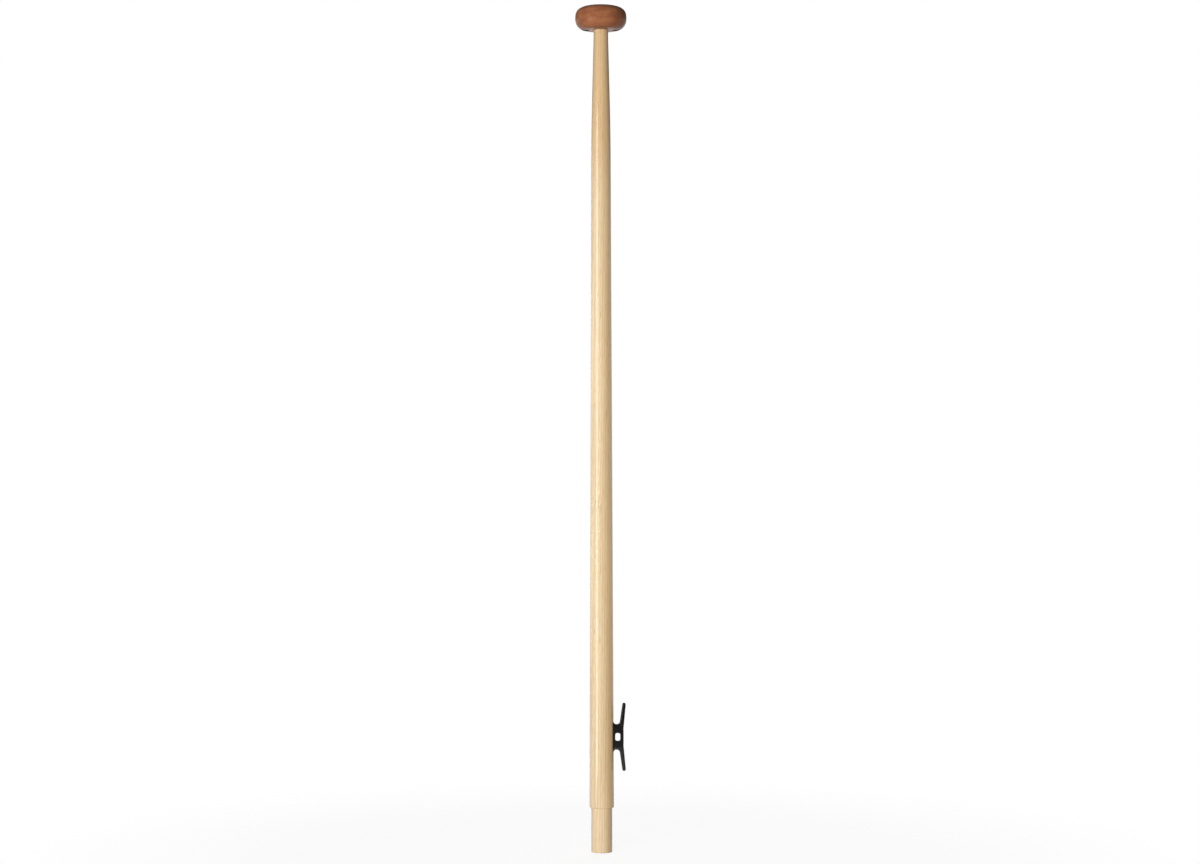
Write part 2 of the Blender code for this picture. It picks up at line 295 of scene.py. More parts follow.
def makeMahogany():
    material, tree, shader, place = newMaterial("varnished mahogany")
    along = addNode(tree, "ShaderNodeMapping", inputs={
        "Vector": place, "Scale": (mahogany["ribbonWidth"] / mahogany["ribbonLength"], 1, 1)})
    ribbons = addNode(tree, "ShaderNodeTexNoise", inputs={
        "Vector": along.outputs[0], "Scale": 1 / mahogany["ribbonWidth"], "Detail": 4.0,
        "Roughness": 0.55, "Distortion": mahogany["ribbonWander"]})
    short = addNode(tree, "ShaderNodeMapping", inputs={
        "Vector": place, "Scale": (mahogany["poreWidth"] / mahogany["poreLength"], 1, 1)})
    pores = addNode(tree, "ShaderNodeTexNoise", inputs={
        "Vector": short.outputs[0], "Scale": 1 / mahogany["poreWidth"], "Detail": 1.0})
    tone = addNode(tree, "ShaderNodeMapRange", {"interpolation_type": "SMOOTHSTEP"}, {
        "Value": ribbons.outputs["Fac"], "From Min": mahogany["ribbonSpan"][0],
        "From Max": mahogany["ribbonSpan"][1]})
    wood = addNode(tree, "ShaderNodeMix", {"data_type": "RGBA"}, {
        "Factor": tone.outputs[0], "A": linear(mahogany["dark"]), "B": linear(mahogany["light"])})
    poreShare = addNode(tree, "ShaderNodeMapRange", inputs={
        "Value": pores.outputs["Fac"], "From Min": mahogany["poreCut"][0],
        "From Max": mahogany["poreCut"][1], "To Max": mahogany["poreTone"]})
    colour = addNode(tree, "ShaderNodeMix", {"data_type": "RGBA"}, {
        "Factor": poreShare.outputs[0], "A": wood.outputs["Result"], "B": linear(mahogany["poreColour"])})
    part = addNode(tree, "ShaderNodeSeparateXYZ", inputs={0: place}).outputs
    # painted shade: darker towards the side away from the key light
    heartAndPaintedShade = addNode(tree, "ShaderNodeMapRange", inputs={
        "Value": part["X"], "From Min": mahogany["paintedShadeReach"][0], "From Max": mahogany["paintedShadeReach"][1],
        "To Min": 1.0, "To Max": mahogany["paintedShadeDarkest"]})
    shadedBlock = addNode(tree, "ShaderNodeVectorMath", {"operation": "SCALE"}, {
        0: colour.outputs["Result"], "Scale": heartAndPaintedShade.outputs[0]})
    # how far a point is from the nearer hole's axis
    side = addNode(tree, "ShaderNodeMath", {"operation": "ABSOLUTE"}, {0: part["X"]})
    off = addNode(tree, "ShaderNodeMath", {"operation": "SUBTRACT"}, {
        0: side.outputs[0], 1: truck["holeOffset"]})
    flat = addNode(tree, "ShaderNodeCombineXYZ", inputs={"X": off.outputs[0], "Y": part["Y"]})
    reach = addNode(tree, "ShaderNodeVectorMath", {"operation": "LENGTH"}, {0: flat.outputs[0]})
    # painted shade darkens the holes' insides and mouths, which also lose the coat and turn rough
    boreAndHoleShade = addNode(tree, "ShaderNodeMapRange", {"interpolation_type": "SMOOTHSTEP"}, {
        "Value": reach.outputs["Value"], "From Min": truck["holeRadius"] + mahogany["soaked"],
        "From Max": truck["holeRadius"] + truck["mouthRound"]})
    withHoleShade = addNode(tree, "ShaderNodeMix", {"data_type": "RGBA"}, {
        "Factor": boreAndHoleShade.outputs[0], "A": shadedBlock.outputs["Vector"], "B": linear(mahogany["paintedHoleShade"])})
    tree.links.new(withHoleShade.outputs["Result"], shader.inputs["Base Color"])
    bump = addNode(tree, "ShaderNodeBump", {"invert": True}, {
        "Strength": mahogany["reliefStrength"], "Distance": mahogany["reliefDepth"],
        "Height": pores.outputs["Fac"]})
    tree.links.new(bump.outputs[0], shader.inputs["Normal"])
    coat = addNode(tree, "ShaderNodeMapRange", inputs={
        "Value": boreAndHoleShade.outputs[0], "To Min": mahogany["coat"], "To Max": 0.0})
    tree.links.new(coat.outputs[0], shader.inputs["Coat Weight"])
    rough = addNode(tree, "ShaderNodeMapRange", inputs={
        "Value": boreAndHoleShade.outputs[0], "To Min": mahogany["roughness"], "To Max": mahogany["boreRoughness"]})
    tree.links.new(rough.outputs[0], shader.inputs["Roughness"])
    shader.inputs["Specular IOR Level"].default_value = mahogany["specular"]
    shader.inputs["Coat Roughness"].default_value = mahogany["coatRoughness"]
    return material


# Black nylon: moulded in a fine-blasted tool. The eye sees a near-black satin skin with soft highlights.
nylon = {
    "grain": 0.45 * mm,  # the tool's blasting is finer, drawn coarser so that it shows
    "skin": "#0B0C0A",
    "scuff": "#171814",
    "cloud": 9 * mm,
    "reliefStrength": 0.12,
    "reliefDepth": 0.05 * mm,
    "roughness": (0.20, 0.28),
    "specular": 0.75,
}


def makeNylon():
    material, tree, shader, place = newMaterial("moulded black nylon")
    grain = addNode(tree, "ShaderNodeTexNoise", inputs={
        "Vector": place, "Scale": 1 / nylon["grain"], "Detail": 2.0})
    cloud = addNode(tree, "ShaderNodeTexNoise", inputs={
        "Vector": place, "Scale": 1 / nylon["cloud"], "Detail": 2.0})
    colour = addNode(tree, "ShaderNodeMix", {"data_type": "RGBA"}, {
        "Factor": cloud.outputs["Fac"], "A": linear(nylon["skin"]), "B": linear(nylon["scuff"])})
    tree.links.new(colour.outputs["Result"], shader.inputs["Base Color"])
    rough = addNode(tree, "ShaderNodeMapRange", inputs={
        "Value": cloud.outputs["Fac"], "From Min": noiseSpan[0], "From Max": noiseSpan[1],
        "To Min": nylon["roughness"][0], "To Max": nylon["roughness"][1]})
    tree.links.new(rough.outputs[0], shader.inputs["Roughness"])
    bump = addNode(tree, "ShaderNodeBump", inputs={
        "Strength": nylon["reliefStrength"], "Distance": nylon["reliefDepth"],
        "Height": grain.outputs["Fac"]})
    tree.links.new(bump.outputs[0], shader.inputs["Normal"])
    shader.inputs["Specular IOR Level"].default_value = nylon["specular"]
    return material


# Stainless steel: a turned and stamped screw. The eye sees fine rings round the head and a dull shine.
steel = {
    "toolMarks": 0.25 * mm,
    "bright": "#C9C8C4",
    "dull": "#A9A8A4",
    "roughness": (0.24, 0.36),
}


def makeSteel():
    material, tree, shader, _ = newMaterial("stainless steel")
    place = addNode(tree, "ShaderNodeAttribute", {"attribute_name": "screwPlace"}).outputs["Vector"]
    rings = addNode(tree, "ShaderNodeTexWave", {"wave_type": "RINGS", "rings_direction": "Z"}, {
        "Vector": place, "Scale": ringWaves(steel["toolMarks"]), "Distortion": 1.0, "Detail": 1.0})
    colour = addNode(tree, "ShaderNodeMix", {"data_type": "RGBA"}, {
        "Factor": rings.outputs["Fac"], "A": linear(steel["dull"]), "B": linear(steel["bright"])})
    tree.links.new(colour.outputs["Result"], shader.inputs["Base Color"])
    rough = addNode(tree, "ShaderNodeMapRange", inputs={
        "Value": rings.outputs["Fac"], "To Min": steel["roughness"][0], "To Max": steel["roughness"][1]})
    tree.links.new(rough.outputs[0], shader.inputs["Roughness"])
    shader.inputs["Metallic"].default_value = 1.0
    return material


# Geometry Nodes

def newTree(name, sizes):  # a tree whose inputs are the named sizes, a material and a geometry
    tree = bpy.data.node_groups.new(name, "GeometryNodeTree")
    tree.interface.new_socket("Geometry", in_out="OUTPUT", socket_type="NodeSocketGeometry")
    tree.interface.new_socket("Geometry", in_out="INPUT", socket_type="NodeSocketGeometry")
    for size, value in sizes.items():
        kind = "NodeSocketInt" if isinstance(value, int) else "NodeSocketFloat"
        tree.interface.new_socket(size, in_out="INPUT", socket_type=kind)
    tree.interface.new_socket("material", in_out="INPUT", socket_type="NodeSocketMaterial")
    given = addNode(tree, "NodeGroupInput").outputs
    return tree, given


def endTree(tree, given, geometry):
    real = addNode(tree, "GeometryNodeRealizeInstances", inputs={"Geometry": geometry})
    coated = addNode(tree, "GeometryNodeSetMaterial", inputs={
        "Geometry": real.outputs[0], "Material": given["material"]})
    addNode(tree, "NodeGroupOutput", inputs={"Geometry": coated.outputs[0]})


def runTree(obj, tree, sizes, material):
    modifier = obj.modifiers.new(tree.name, "NODES")
    modifier.node_group = tree
    for item in tree.interface.items_tree:
        if item.in_out == "INPUT" and item.name in sizes:
            modifier[item.identifier] = sizes[item.name]
        if item.in_out == "INPUT" and item.name == "material":
            modifier[item.identifier] = material
    makePlain(obj)


# The staff: a stick turned to a rule, which gives its radius at each height

_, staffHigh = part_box("staff")
truckLow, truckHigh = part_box("truck")
staff = {
    "heelRadius": 15 * mm,
    "heelLength": 63 * mm,
    "heelRound": 1.0 * mm,
    "shoulderRadius": staffHigh.x,
    "shoulderRound": 1.5 * mm,
    "hipRadius": 13.7 * mm,
    "hipHeight": truckLow.z - 144.5 * mm,
    "hipBlend": 1.44 * mm,
    "neckRadius": 10.3 * mm,
    "neckBottom": truckLow.z - 10 * mm,
    "sides": 128,
}
staffRings = {  # how the steps of the mesh are spread along the stick
    "heelRound": 6,
    "heel": (10 * mm, 60 * mm, 5),  # lowest, highest and count
    "lip": 0.002 * mm,  # from the heel's last ring to the shoulder's first
    "shoulderRound": 8,
    "tapersFrom": 70 * mm,
    "tapers": 136,
    "neckFrom": staff["neckBottom"] + 1 * mm,
    "neck": 8,
}


def staffTree():
    tree, given = newTree("turned staff", staff)
    height = addNode(tree, "ShaderNodeSeparateXYZ", inputs={
        0: addNode(tree, "GeometryNodeInputPosition").outputs[0]}).outputs["Z"]
    slow = addNode(tree, "ShaderNodeMapRange", {"clamp": False}, {
        "Value": height, "From Min": given["heelLength"], "From Max": given["hipHeight"],
        "To Min": given["shoulderRadius"], "To Max": given["hipRadius"]})
    quick = addNode(tree, "ShaderNodeMapRange", {"clamp": False}, {
        "Value": height, "From Min": given["hipHeight"], "From Max": given["neckBottom"],
        "To Min": given["hipRadius"], "To Max": given["neckRadius"]})
    tapers = addNode(tree, "ShaderNodeMath", {"operation": "SMOOTH_MIN"}, {
        0: slow.outputs[0], 1: quick.outputs[0], 2: given["hipBlend"]})
    body = addNode(tree, "ShaderNodeMath", {"operation": "MAXIMUM"}, {
        0: tapers.outputs[0], 1: given["neckRadius"]})
    parts = []
    for radius, edge, size in ((body.outputs[0], given["heelLength"], given["shoulderRound"]),
                               (given["heelRadius"], 0.0, given["heelRound"])):
        # what the rounded lower edge takes off
        far = addNode(tree, "ShaderNodeMath", {"operation": "ADD"}, {0: edge, 1: size})
        share = addNode(tree, "ShaderNodeMapRange", inputs={
            "Value": height, "From Min": far.outputs[0], "From Max": edge})
        square = addNode(tree, "ShaderNodeMath", {"operation": "POWER"}, {0: share.outputs[0], 1: 2.0})
        rest = addNode(tree, "ShaderNodeMath", {"operation": "SUBTRACT"}, {0: 1.0, 1: square.outputs[0]})
        root = addNode(tree, "ShaderNodeMath", {"operation": "SQRT"}, {0: rest.outputs[0]})
        loss = addNode(tree, "ShaderNodeMath", {"operation": "SUBTRACT"}, {0: 1.0, 1: root.outputs[0]})
        cut = addNode(tree, "ShaderNodeMath", {"operation": "MULTIPLY"}, {0: loss.outputs[0], 1: size})
        parts.append(addNode(tree, "ShaderNodeMath", {"operation": "SUBTRACT"}, {
            0: radius, 1: cut.outputs[0]}))
    inHeel = addNode(tree, "ShaderNodeMath", {"operation": "LESS_THAN"}, {
        0: height, 1: given["heelLength"]})
    radius = addNode(tree, "ShaderNodeMix", inputs={
        "Factor": inHeel.outputs[0], "A": parts[0].outputs[0], "B": parts[1].outputs[0]})
    axis = addNode(tree, "GeometryNodeMeshToCurve", inputs={"Mesh": given["Geometry"]})
    ring = addNode(tree, "GeometryNodeCurvePrimitiveCircle", inputs={
        "Resolution": given["sides"], "Radius": 1.0})
    skin = addNode(tree, "GeometryNodeCurveToMesh", inputs={
        "Curve": axis.outputs[0], "Profile Curve": ring.outputs[0], "Scale": radius.outputs[0],
        "Fill Caps": True})
    endTree(tree, given, skin.outputs[0])
    return tree


def staffHeights():  # close together where an edge is rounded, and every 8 mm along the tapers
    shoulder = staff["heelLength"]
    heights = spaced(0, staff["heelRound"], staffRings["heelRound"])
    heights += spaced(*staffRings["heel"])
    heights.append(shoulder - staffRings["lip"])
    heights += spaced(shoulder, shoulder + staff["shoulderRound"], staffRings["shoulderRound"])
    heights += spaced(staffRings["tapersFrom"], staff["neckBottom"], staffRings["tapers"])
    return heights + spaced(staffRings["neckFrom"], staffHigh.z, staffRings["neck"])


def makeStaff(material, seat, holes):
    bm = bmesh.new()
    verts = [bm.verts.new((0, 0, height)) for height in staffHeights()]
    for pair in zip(verts, verts[1:]):
        bm.edges.new(pair)
    obj = meshObject("ash_staff", bm)
    runTree(obj, staffTree(), staff, material)
    for tool in (seat, *holes):
        combine(obj, tool)
    makePlain(obj)
    shade(obj)
    return obj


# The truck: a bun-shaped cap, full above its widest ring and softer below

truck = {
    "radius": truckHigh.x,
    "crownHeight": 19.8 * mm,
    "footHeight": 15.2 * mm,
    "flatRadius": 22.3 * mm,
    "crownFullness": 3.2,  # superellipse exponents, where 2 is round
    "footFullness": 2.0,
    "socketRadius": staff["neckRadius"] + 0.1 * mm,
    "socketDepth": 24.1 * mm,
    "holeRadius": 4 * mm,
    "holeOffset": 21.5 * mm,
    "mouthRound": 0.6 * mm,
    "mouthPoints": 8,
    "holeSides": 48,
    "drillPast": 3 * mm,  # how far the drill stands out of the wood at each end
    "crownPoints": 56,
    "footPoints": 28,
    "flatRings": (18 * mm, 14 * mm),  # they keep the faces of the flat underside short
    "segments": 144,
    "sharpAngle": 40,
}


def superellipse(width, height, fullness, count):  # a quarter, from the top to the side
    power = 2 / fullness
    turns = spaced(0, math.pi / 2, count)
    return [(width * math.sin(a) ** power, height * max(0.0, math.cos(a)) ** power) for a in turns]


def crownAt(radius):
    share = min(1.0, radius / truck["radius"]) ** truck["crownFullness"]
    return truck["footHeight"] + truck["crownHeight"] * (1 - share) ** (1 / truck["crownFullness"])


def footAt(radius):
    share = max(0.0, radius - truck["flatRadius"]) / (truck["radius"] - truck["flatRadius"])
    return truck["footHeight"] * (1 - (1 - share ** truck["footFullness"]) ** (1 / truck["footFullness"]))


def halyardHole(side):  # a hole whose rounded mouths follow the crown and the foot
    bend = truck["mouthRound"]
    mouth = truck["holeRadius"] + bend
    upper = [(mouth, truck["drillPast"])] + arc((mouth, -bend), bend, 90, 180, truck["mouthPoints"])
    lower = arc((mouth, bend), bend, 180, 270, truck["mouthPoints"]) + [(mouth, -truck["drillPast"])]
    lastTurn = 360 - 360 / truck["holeSides"]
    rings = []
    for surface, stretch in ((crownAt, upper), (footAt, lower)):
        for radius, rise in stretch:
            ring = []
            for x, y in arc((side * truck["holeOffset"], 0), radius, 0, lastTurn, truck["holeSides"] - 1):
                ring.append((x, y, truckLow.z + surface(math.hypot(x, y)) + rise))
            rings.append(ring)
    return lofted("hole", rings)


def makeTruck():
    radius, rim = truck["radius"], truck["footHeight"]
    flat, socket, depth = truck["flatRadius"], truck["socketRadius"], truck["socketDepth"]
    crown = superellipse(radius, truck["crownHeight"], truck["crownFullness"], truck["crownPoints"])
    foot = superellipse(radius - flat, rim, truck["footFullness"], truck["footPoints"])
    profile = [(reach, rim + rise) for reach, rise in crown]
    profile += [(flat + reach, rim - drop) for reach, drop in reversed(foot[:-1])]
    profile += [(reach, 0) for reach in (*truck["flatRings"], socket)]
    profile += [(socket, depth), (0, depth)]
    placed = [(reach, truckLow.z + height) for reach, height in profile]
    obj = turned("mahogany_truck", placed, truck["segments"])
    holes = [halyardHole(1), halyardHole(-1)]
    for hole in holes:
        combine(obj, hole)
    makePlain(obj, *holes)
    shade(obj, truck["sharpAngle"])
    return obj


# The cleat: a bar with two rising horns on a waisted, flared foot, with an eye through its middle.
# Sizes run along the staff (long), across it (wide) and out from it (tall).

cleatLow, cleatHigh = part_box("cleat")
seatGap = 0.3 * mm  # between the cleat's base and the flat that is cut for it in the staff
cleat = {
    "middle": (cleatLow.z + cleatHigh.z) / 2,
    "seat": cleatLow.x - seatGap,  # the flat on the staff
    "halfLong": (cleatHigh.z - cleatLow.z) / 2,
    "tall": 15.4 * mm,  # from the seat
    "wide": 9.8 * mm,
    "edgeRound": 2.0 * mm,
    "edgeSteps": 8,
    "edgeAngle": 40,  # degrees past which an edge is rounded
    "topLong": 26 * mm,
    "baseLong": 42 * mm,
    "baseWide": 12.5 * mm,
    "baseThick": 1.3 * mm,
    "baseCorner": 4 * mm,
    "baseInset": 0.2 * mm,  # keeps the base's sides off the body's, so that the two join cleanly
    "flareSteps": 14,
    "throatRadius": 4.4 * mm,
    "throatDepth": 3.1 * mm,
    "throatPoints": 16,
    "hornRise": 8.2,  # degrees
    "tipRadius": 2.55 * mm,
    "tipWide": 6.4 * mm,
    "tipPoints": 20,
    "eyeLong": 11.5 * mm,
    "eyeTall": 7.0 * mm,
    "eyeFloor": 3.5 * mm,
    "eyeCorner": 2.8 * mm,
    "eyeRound": 1.2 * mm,
    "eyePoints": 6,
    "seatDepth": 10 * mm,
    "voxel": 0.28 * mm,
    "filletPasses": 8,
    "filletShare": 0.5,
}


def cleatThroat():  # centre of the round hollow between base and horn, as (long, tall)
    radius, depth = cleat["throatRadius"], cleat["throatDepth"]
    rise = math.sqrt(radius ** 2 - (radius - depth) ** 2)
    return cleat["baseLong"] / 2 - depth + radius, cleat["baseThick"] + rise


def cleatHalfOutline():  # from the waist's foot, round the horn, to the straight top
    center = cleatThroat()
    waist = center[0] - cleat["throatRadius"]
    under = arc(center, cleat["throatRadius"], 180, 90 + cleat["hornRise"], cleat["throatPoints"])
    rise = math.radians(cleat["hornRise"])
    tip, top = cleat["tipRadius"], cleat["topLong"] / 2
    tipLong = cleat["halfLong"] - tip
    tipTall = under[-1][1] + (tipLong - under[-1][0]) * math.tan(rise) + tip / math.cos(rise)
    reach, climb = tipLong - top, tipTall - cleat["tall"]
    slope = math.atan2(climb, reach) + math.asin(tip / math.hypot(reach, climb))
    outline = [(top, cleat["baseThick"]), (waist, cleat["baseThick"])] + under
    start, stop = cleat["hornRise"] - 90, math.degrees(slope) + 90
    outline += arc((tipLong, tipTall), tip, start, stop, cleat["tipPoints"])
    return outline + [(top, cleat["tall"])]


def cleatHalfWide(long):
    straight = cleat["topLong"] / 2
    share = max(0.0, abs(long) - straight) / (cleat["halfLong"] - straight)
    return (cleat["wide"] + (cleat["tipWide"] - cleat["wide"]) * share) / 2


def cleatPoint(long, wide, tall):
    return cleat["seat"] + tall, wide, cleat["middle"] + long


def cleatBody():
    half = cleatHalfOutline()
    outline = half + [(-long, tall) for long, tall in reversed(half)]
    sides = []
    for side in (-1, 1):
        sides.append([cleatPoint(long, side * cleatHalfWide(long), tall) for long, tall in outline])
    obj = lofted("nylon_cleat", sides)
    bevel = obj.modifiers.new("round edges", "BEVEL")
    bevel.width = cleat["edgeRound"]
    bevel.segments = cleat["edgeSteps"]
    bevel.limit_method = "ANGLE"
    bevel.angle_limit = math.radians(cleat["edgeAngle"])
    return obj


def cleatBase():  # the flange and the hollow flare up to the waist
    _, top = cleatThroat()
    radius = cleat["throatRadius"]
    waistLong = cleat["baseLong"] - 2 * cleat["throatDepth"]
    rings = []
    for rise in [0.0] + spaced(cleat["baseThick"], top, cleat["flareSteps"]):
        drop = top - max(rise, cleat["baseThick"])
        spread = (radius - math.sqrt(radius ** 2 - drop ** 2)) / cleat["throatDepth"]
        long = waistLong + (cleat["baseLong"] - waistLong) * spread - cleat["baseInset"]
        wide = cleat["wide"] + (cleat["baseWide"] - cleat["wide"]) * spread - cleat["baseInset"]
        outline = roundedRectangle(long, wide, cleat["baseCorner"])
        rings.append([cleatPoint(x, y, rise) for x, y in outline])
    return lofted("base", rings)


def cleatEye():
    middle = cleat["eyeFloor"] + cleat["eyeTall"] / 2
    bend = cleat["eyeRound"]
    stations = [(bend, cleat["baseWide"])]
    stations += arc((bend, cleat["wide"] / 2 - bend), bend, 90, 180, cleat["eyePoints"])
    rings = []
    for grow, wide in stations + [(grow, -wide) for grow, wide in reversed(stations)]:
        size = cleat["eyeLong"] + 2 * grow, cleat["eyeTall"] + 2 * grow
        outline = roundedRectangle(*size, cleat["eyeCorner"] + grow)
        rings.append([cleatPoint(long, wide, middle + tall) for long, tall in outline])
    return lofted("eye", rings)


def cleatSeat():  # the wood that the flat for the base takes off the staff
    long, wide = cleat["baseLong"] / 2 + seatGap, staff["shoulderRadius"]
    corners = [(-long, -wide), (long, -wide), (long, wide), (-long, wide)]
    rings = []
    for tall in (0, cleat["seatDepth"]):
        rings.append([cleatPoint(x, y, tall) for x, y in corners])
    return lofted("seat", rings)


def makeCleat(holes):
    obj = cleatBody()
    base = cleatBase()
    eye = cleatEye()
    combine(obj, base, "UNION")
    for tool in (eye, *holes):
        combine(obj, tool)
    remesh = obj.modifiers.new("one moulding", "REMESH")  # runs the joins into small fillets
    remesh.mode = "VOXEL"
    remesh.voxel_size = cleat["voxel"]
    smooth = obj.modifiers.new("fillets", "SMOOTH")
    smooth.factor = cleat["filletShare"]
    smooth.iterations = cleat["filletPasses"]
    makePlain(obj, base, eye)
    obj.data.shade_smooth()
    return obj


# The screws: one countersunk wood screw, repeated along the cleat

screwLow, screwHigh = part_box("cleat_screw_lower")
upperLow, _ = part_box("cleat_screw_upper")
screw = {
    "length": screwHigh.x - screwLow.x,
    "face": screwHigh.x,  # the head's face
    "lowest": (screwLow.z + screwHigh.z) / 2,
    "spacing": upperLow.z - screwLow.z,
    "count": 2,
    "headRadius": 3.2 * mm,
    "shankRadius": 1.5 * mm,
    "rim": 0.3 * mm,
    "point": 5 * mm,
    "tipRadius": 0.3 * mm,
    "sides": 48,
    "gap": 0.2 * mm,
    "drillPast": 4 * mm,  # how far the drill for its hole stands out of the cleat
    "threadPitch": 1.4 * mm,
    "threadLength": 13 * mm,
    "threadRadius": 0.25 * mm,
    "threadSteps": 24,  # in a turn
    "threadSides": 6,
    "recessSpan": 3.8 * mm,
    "recessSlot": 1.0 * mm,
    "recessDepth": 1.6 * mm,
    "recessTaper": 0.5,
}


def screwProfile(gap, top):  # head's face at height 0, point down
    head = screw["headRadius"] + gap
    shank = screw["shankRadius"] + gap
    tip = -screw["length"] - gap
    points = [(0, top), (head, top), (head, -screw["rim"]), (shank, -screw["rim"] - head + shank)]
    return points + [(shank, tip + screw["point"]), (screw["tipRadius"] + gap, tip), (0, tip)]


def screwRecess():  # a cross that narrows downward, with its full size at the head's face
    span, slot, depth = screw["recessSpan"] / 2, screw["recessSlot"] / 2, screw["recessDepth"]
    arm = ((span, -slot), (span, slot), (slot, slot))
    cross = []
    for cos, sin in ((1, 0), (0, 1), (-1, 0), (0, -1)):
        cross += [(x * cos - y * sin, x * sin + y * cos) for x, y in arm]
    rings = []
    for way in (1, -1):
        width = 1 + way * screw["recessTaper"]
        rings.append([(x * width, y * width, way * depth) for x, y in cross])
    return lofted("recess", rings)


def screwHoles():  # the room that the screws take in the cleat and the staff
    holes = []
    for i in range(screw["count"]):
        hole = turned("hole", screwProfile(screw["gap"], screw["drillPast"]), screw["sides"])
        for vert in hole.data.vertices:
            x, y, z = vert.co
            vert.co = (screw["face"] + z, y, screw["lowest"] + i * screw["spacing"] - x)
        holes.append(hole)
    return holes


def screwTree():
    tree, given = newTree("cleat screws", screw)
    turns = addNode(tree, "ShaderNodeMath", {"operation": "DIVIDE"}, {
        0: given["threadLength"], 1: given["threadPitch"]}).outputs[0]
    helix = addNode(tree, "GeometryNodeCurveSpiral", inputs={
        "Resolution": given["threadSteps"], "Rotations": turns, "Start Radius": given["shankRadius"],
        "End Radius": given["shankRadius"], "Height": given["threadLength"]})
    ridge = addNode(tree, "GeometryNodeCurvePrimitiveCircle", inputs={
        "Resolution": given["threadSides"], "Radius": given["threadRadius"]})
    thread = addNode(tree, "GeometryNodeCurveToMesh", inputs={
        "Curve": helix.outputs[0], "Profile Curve": ridge.outputs[0], "Fill Caps": True})
    threadEnd = addNode(tree, "ShaderNodeMath", {"operation": "SUBTRACT"}, {
        0: given["point"], 1: given["length"]}).outputs[0]
    sunk = addNode(tree, "GeometryNodeTransform", inputs={
        "Geometry": thread.outputs[0],
        "Translation": addNode(tree, "ShaderNodeCombineXYZ", inputs={"Z": threadEnd}).outputs[0]})
    whole = addNode(tree, "GeometryNodeJoinGeometry")
    tree.links.new(sunk.outputs[0], whole.inputs[0])
    tree.links.new(given["Geometry"], whole.inputs[0])
    marked = addNode(tree, "GeometryNodeStoreNamedAttribute", {
        "data_type": "FLOAT_VECTOR", "domain": "POINT"}, {
        "Geometry": whole.outputs[0], "Name": "screwPlace",  # the steel's tool marks follow it
        "Value": addNode(tree, "GeometryNodeInputPosition").outputs[0]})
    step = addNode(tree, "ShaderNodeCombineXYZ", inputs={"Z": given["spacing"]})
    start = addNode(tree, "ShaderNodeCombineXYZ", inputs={"X": given["face"], "Z": given["lowest"]})
    row = addNode(tree, "GeometryNodeMeshLine", inputs={
        "Count": given["count"], "Start Location": start.outputs[0], "Offset": step.outputs[0]})
    copies = addNode(tree, "GeometryNodeInstanceOnPoints", inputs={
        "Points": row.outputs[0], "Instance": marked.outputs[0], "Rotation": (0, math.pi / 2, 0)})
    endTree(tree, given, copies.outputs[0])
    return tree


def makeScrews(material):
    obj = turned("cleat_screws", screwProfile(0, 0), screw["sides"])
    recess = screwRecess()
    combine(obj, recess)
    makePlain(obj, recess)
    runTree(obj, screwTree(), screw, material)
    shade(obj)
    return obj


# Build

ashMaterial = makeAsh()
mahoganyMaterial = makeMahogany()
nylonMaterial = makeNylon()
steelMaterial = makeSteel()
print("materials done")

screwRoom = screwHoles()
seatRoom = cleatSeat()
staffPiece = makeStaff(ashMaterial, seatRoom, screwRoom)
cleatPiece = makeCleat(screwRoom)
for tool in (seatRoom, *screwRoom):
    bpy.data.objects.remove(tool, do_unlink=True)
truckPiece = makeTruck()
screwPiece = makeScrews(steelMaterial)
handOver(staffPiece, ashMaterial, "varnished_ash", "staff")
handOver(truckPiece, mahoganyMaterial, "varnished_mahogany", "truck")
handOver(cleatPiece, nylonMaterial, "black_nylon", "cleat")
handOver(screwPiece, steelMaterial, "stainless_steel", "cleat_screw_upper", "cleat_screw_lower")


# Stage: a white floor that fades into a white backdrop. A tall strip on the left shows only as a
# reflection, and soft panels in front and behind, with smaller ones at the sides, give the light.

stage = {
    "aimHeight": 0.56,  # the panels face this height on the staff
    "floorSize": 2.0,
    "floorFade": (0.35, 0.9),  # where the floor runs out into the backdrop
    "floorGlow": 0.865,  # lifts the paper to white where nothing shades it
    "paper": 0.22,  # grey, because the glow adds the rest
    "ambient": 0.11,
    "room": 0.06,  # what reflections see away from the backdrop
    "sweepTop": (0.13, 0.07),  # rise of a reflected ray at which the backdrop ends and is full
    "sweepAbove": 0.1,  # share of the backdrop that is left over its top
    "sweepBack": (-0.05, 0.25),  # the same, going away from the camera's side
}
panels = {
    "strip": {"angle": -47, "distance": 1.5, "height": 0.60, "size": (0.36, 1.36), "radiance": 6.2,
              "spread": 180, "mirrored": True},
    "side": {"angle": -75, "distance": 0.8, "height": 0.62, "size": (0.4, 0.9), "radiance": 4.9,
             "spread": 60, "mirrored": False},
    "front": {"angle": -16, "distance": 4.5, "height": 0.65, "size": (2.4, 0.8), "radiance": 33.4,
              "spread": 180, "mirrored": False},
    "back": {"angle": 170, "distance": 4.0, "height": 0.75, "size": (2.8, 1.5), "radiance": 10.5,
             "spread": 180, "mirrored": False},
    "fill": {"angle": 95, "distance": 0.8, "height": 0.5, "size": (0.4, 0.8), "radiance": 2.4,
             "spread": 50, "mirrored": False},
}


